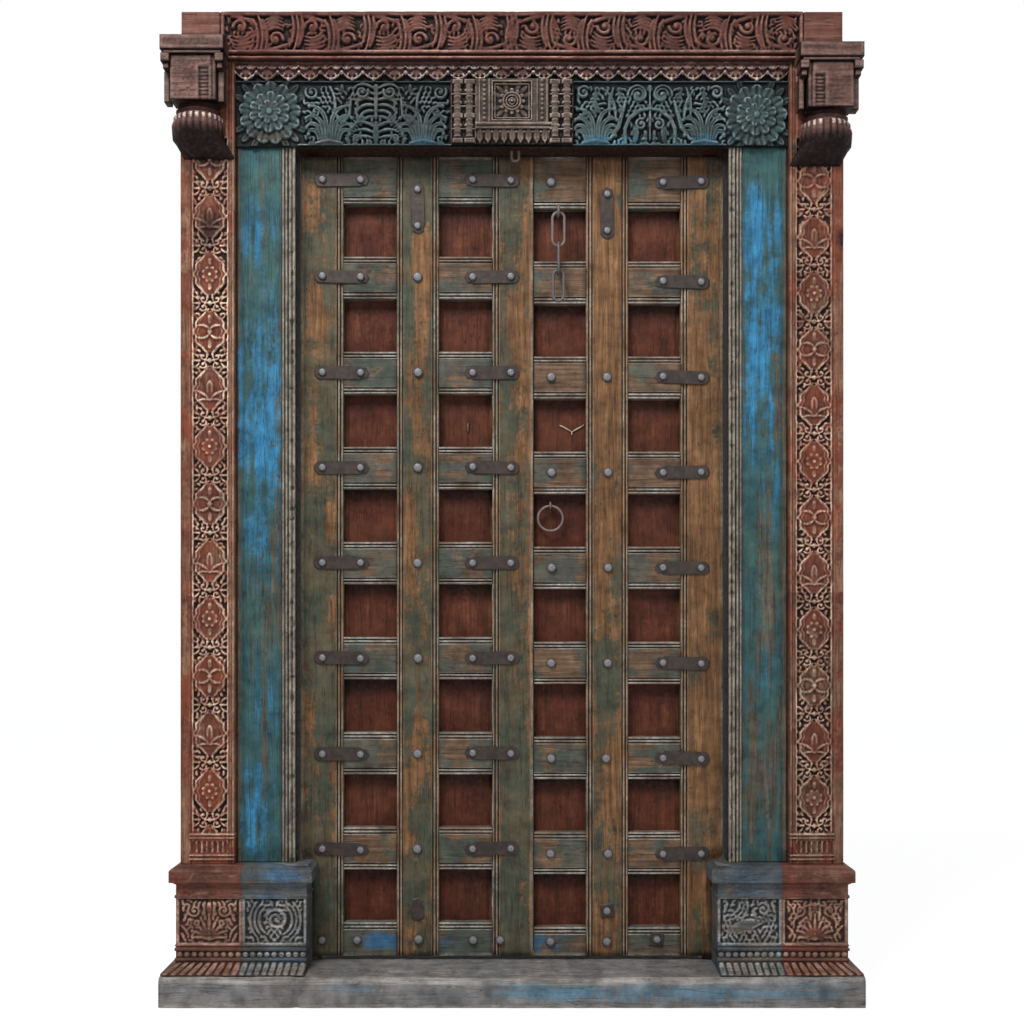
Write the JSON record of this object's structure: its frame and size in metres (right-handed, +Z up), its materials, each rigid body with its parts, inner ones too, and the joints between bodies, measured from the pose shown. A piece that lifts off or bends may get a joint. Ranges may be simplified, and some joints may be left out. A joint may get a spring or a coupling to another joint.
{
  "type": "carved temple door",
  "caption": "Carved wooden door in its own frame, with pilasters, capitals, a floral frieze, gridded leaves on wooden pivots, iron straps, a hanging chain and a ring pull.",
  "frame": {"origin": "middle of the underside of the sill", "axes": "+X to the right seen from the front, -Y towards the carved front, +Z up"},
  "size_m": [1.7, 0.25, 2.427],
  "materials": {
    "red_carved_wood": "worn red-brown paint on carved wood",
    "blue_painted_wood": "flaked blue-green paint over brown wood",
    "frieze_wood": "grey-green paint rubbed from the carving",
    "crown_wood": "weathered maroon-brown wood",
    "leaf_wood": "weathered grey-brown wood with green paint left in patches",
    "panel_wood": "dull red-brown stained planks",
    "sill_wood": "trodden grey wood with traces of blue paint",
    "forged_iron": "dark forged iron, dull with rust"
  },
  "bodies": {
    "frame": {"threshold": "sill_wood", "pivot_cups": "forged_iron", "left_jamb": "blue_painted_wood", "right_jamb": "blue_painted_wood", "left_pilaster": "red_carved_wood", "right_pilaster": "red_carved_wood", "left_inner_plinth": "blue_painted_wood", "right_inner_plinth": "blue_painted_wood", "left_outer_plinth": "red_carved_wood", "right_outer_plinth": "red_carved_wood", "lintel": "crown_wood", "keeper_staple": "forged_iron", "frieze_board": "frieze_wood", "centre_block": "frieze_wood", "scalloped_band": "crown_wood", "crown_board": "crown_wood", "left_capital": "crown_wood", "right_capital": "crown_wood"},
    "left_leaf": {"left_hinge_stile": "leaf_wood", "left_centre_stile": "leaf_wood", "meeting_post": "leaf_wood", "left_top_rail": "leaf_wood", "left_rail_1": "leaf_wood", "left_rail_2": "leaf_wood", "left_rail_3": "leaf_wood", "left_rail_4": "leaf_wood", "left_rail_5": "leaf_wood", "left_rail_6": "leaf_wood", "left_rail_7": "leaf_wood", "left_bottom_rail": "leaf_wood", "left_plank_outer": "panel_wood", "left_plank_inner": "panel_wood", "left_upper_ledge": "panel_wood", "left_lower_ledge": "panel_wood", "left_straps": "forged_iron", "left_studs": "forged_iron"},
    "right_leaf": {"right_hinge_stile": "leaf_wood", "right_centre_stile": "leaf_wood", "right_top_rail": "leaf_wood", "right_rail_1": "leaf_wood", "right_rail_2": "leaf_wood", "right_rail_3": "leaf_wood", "right_rail_4": "leaf_wood", "right_rail_5": "leaf_wood", "right_rail_6": "leaf_wood", "right_rail_7": "leaf_wood", "right_bottom_rail": "leaf_wood", "right_plank_inner": "panel_wood", "right_plank_outer": "panel_wood", "right_upper_ledge": "panel_wood", "right_lower_ledge": "panel_wood", "right_straps": "forged_iron", "right_studs": "forged_iron", "chain_eye": "forged_iron", "ring_eye": "forged_iron", "split_pin": "forged_iron"},
    "link_one": {"chain_link_1": "forged_iron"},
    "link_two": {"chain_link_2": "forged_iron"},
    "hasp": {"chain_hasp": "forged_iron"},
    "ring": {"pull_ring": "forged_iron"}
  },
  "joints": [
    {"name": "left_leaf_swing", "type": "hinge", "parent": "frame", "child": "left_leaf", "pos_m": [-0.502, 0.07, 0.056], "axis": [0, 0, 1], "range_deg": [0, 90]},
    {"name": "right_leaf_swing", "type": "hinge", "parent": "frame", "child": "right_leaf", "pos_m": [0.502, 0.07, 0.056], "axis": [0, 0, -1], "range_deg": [0, 90]},
    {"name": "first_link_swing", "type": "hinge", "parent": "right_leaf", "child": "link_one", "pos_m": [0.116, 0.012, 1.943], "axis": [0, 1, 0], "range_deg": [-60, 60]},
    {"name": "second_link_lift", "type": "hinge", "parent": "link_one", "child": "link_two", "pos_m": [0.116, 0.012, 1.8675], "axis": [-1, 0, 0], "range_deg": [0, 90]},
    {"name": "hasp_swing", "type": "hinge", "parent": "link_two", "child": "hasp", "pos_m": [0.116, 0.012, 1.798], "axis": [0, 1, 0], "range_deg": [-90, 90]},
    {"name": "ring_lift", "type": "hinge", "parent": "right_leaf", "child": "ring", "pos_m": [0.097, 0.052, 1.2208], "axis": [-1, 0, 0], "range_deg": [0, 90]}
  ]
}
